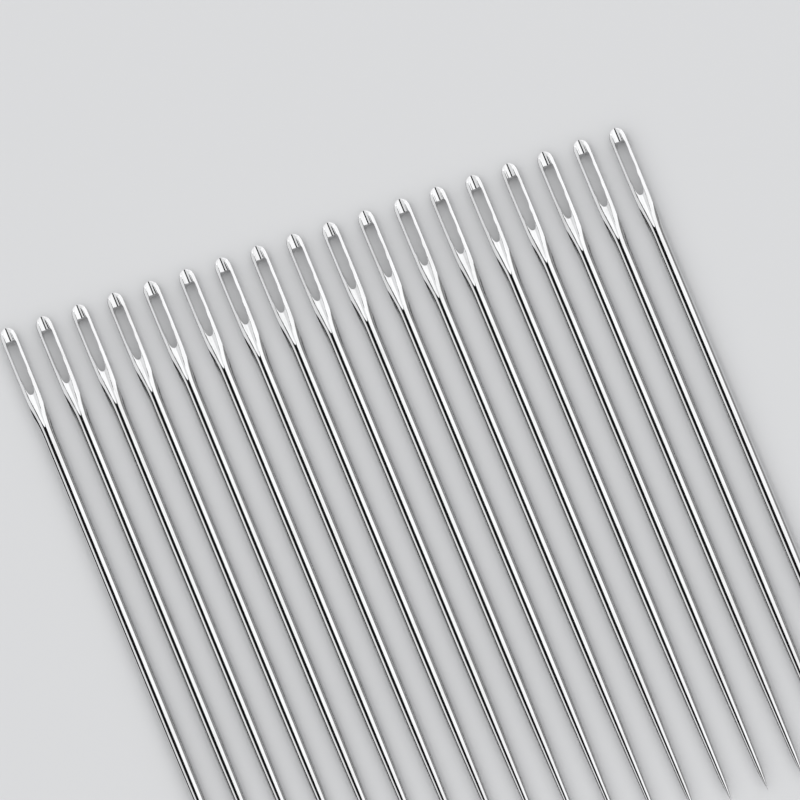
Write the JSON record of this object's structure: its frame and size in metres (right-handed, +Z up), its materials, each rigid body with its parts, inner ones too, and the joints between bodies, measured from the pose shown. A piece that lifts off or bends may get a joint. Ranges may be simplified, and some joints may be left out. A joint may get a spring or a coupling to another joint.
{
  "type": "upholstery needle set",
  "caption": "Straight steel hand needles for upholstery, with long grooved eyes and round points, laid out loose in a slanting row.",
  "frame": {"origin": "on the surface that the needles lie on, under the middle of the row", "axes": "+Z up from the surface; +Y along the needles from point to head; +X across the row, towards needle_18"},
  "size_m": [0.0706, 0.0844, 0.0016],
  "materials": {
    "polished_steel": "bright nickel-plated steel, polished along its length, with a faint lengthwise grain"
  },
  "bodies": {
    "needle_01": {"needle_01": "polished_steel"},
    "needle_02": {"needle_02": "polished_steel"},
    "needle_03": {"needle_03": "polished_steel"},
    "needle_04": {"needle_04": "polished_steel"},
    "needle_05": {"needle_05": "polished_steel"},
    "needle_06": {"needle_06": "polished_steel"},
    "needle_07": {"needle_07": "polished_steel"},
    "needle_08": {"needle_08": "polished_steel"},
    "needle_09": {"needle_09": "polished_steel"},
    "needle_10": {"needle_10": "polished_steel"},
    "needle_11": {"needle_11": "polished_steel"},
    "needle_12": {"needle_12": "polished_steel"},
    "needle_13": {"needle_13": "polished_steel"},
    "needle_14": {"needle_14": "polished_steel"},
    "needle_15": {"needle_15": "polished_steel"},
    "needle_16": {"needle_16": "polished_steel"},
    "needle_17": {"needle_17": "polished_steel"},
    "needle_18": {"needle_18": "polished_steel"}
  },
  "joints": [
    {"name": "needle_01_lift", "type": "slide", "parent": "needle_09", "child": "needle_01", "axis": [0, 0, 1], "range_m": [0, 0.03]},
    {"name": "needle_02_lift", "type": "slide", "parent": "needle_09", "child": "needle_02", "axis": [0, 0, 1], "range_m": [0, 0.03]},
    {"name": "needle_03_lift", "type": "slide", "parent": "needle_09", "child": "needle_03", "axis": [0, 0, 1], "range_m": [0, 0.03]},
    {"name": "needle_04_lift", "type": "slide", "parent": "needle_09", "child": "needle_04", "axis": [0, 0, 1], "range_m": [0, 0.03]},
    {"name": "needle_05_lift", "type": "slide", "parent": "needle_09", "child": "needle_05", "axis": [0, 0, 1], "range_m": [0, 0.03]},
    {"name": "needle_06_lift", "type": "slide", "parent": "needle_09", "child": "needle_06", "axis": [0, 0, 1], "range_m": [0, 0.03]},
    {"name": "needle_07_lift", "type": "slide", "parent": "needle_09", "child": "needle_07", "axis": [0, 0, 1], "range_m": [0, 0.03]},
    {"name": "needle_08_lift", "type": "slide", "parent": "needle_09", "child": "needle_08", "axis": [0, 0, 1], "range_m": [0, 0.03]},
    {"name": "needle_10_lift", "type": "slide", "parent": "needle_09", "child": "needle_10", "axis": [0, 0, 1], "range_m": [0, 0.03]},
    {"name": "needle_11_lift", "type": "slide", "parent": "needle_09", "child": "needle_11", "axis": [0, 0, 1], "range_m": [0, 0.03]},
    {"name": "needle_12_lift", "type": "slide", "parent": "needle_09", "child": "needle_12", "axis": [0, 0, 1], "range_m": [0, 0.03]},
    {"name": "needle_13_lift", "type": "slide", "parent": "needle_09", "child": "needle_13", "axis": [0, 0, 1], "range_m": [0, 0.03]},
    {"name": "needle_14_lift", "type": "slide", "parent": "needle_09", "child": "needle_14", "axis": [0, 0, 1], "range_m": [0, 0.03]},
    {"name": "needle_15_lift", "type": "slide", "parent": "needle_09", "child": "needle_15", "axis": [0, 0, 1], "range_m": [0, 0.03]},
    {"name": "needle_16_lift", "type": "slide", "parent": "needle_09", "child": "needle_16", "axis": [0, 0, 1], "range_m": [0, 0.03]},
    {"name": "needle_17_lift", "type": "slide", "parent": "needle_09", "child": "needle_17", "axis": [0, 0, 1], "range_m": [0, 0.03]},
    {"name": "needle_18_lift", "type": "slide", "parent": "needle_09", "child": "needle_18", "axis": [0, 0, 1], "range_m": [0, 0.03]}
  ]
}
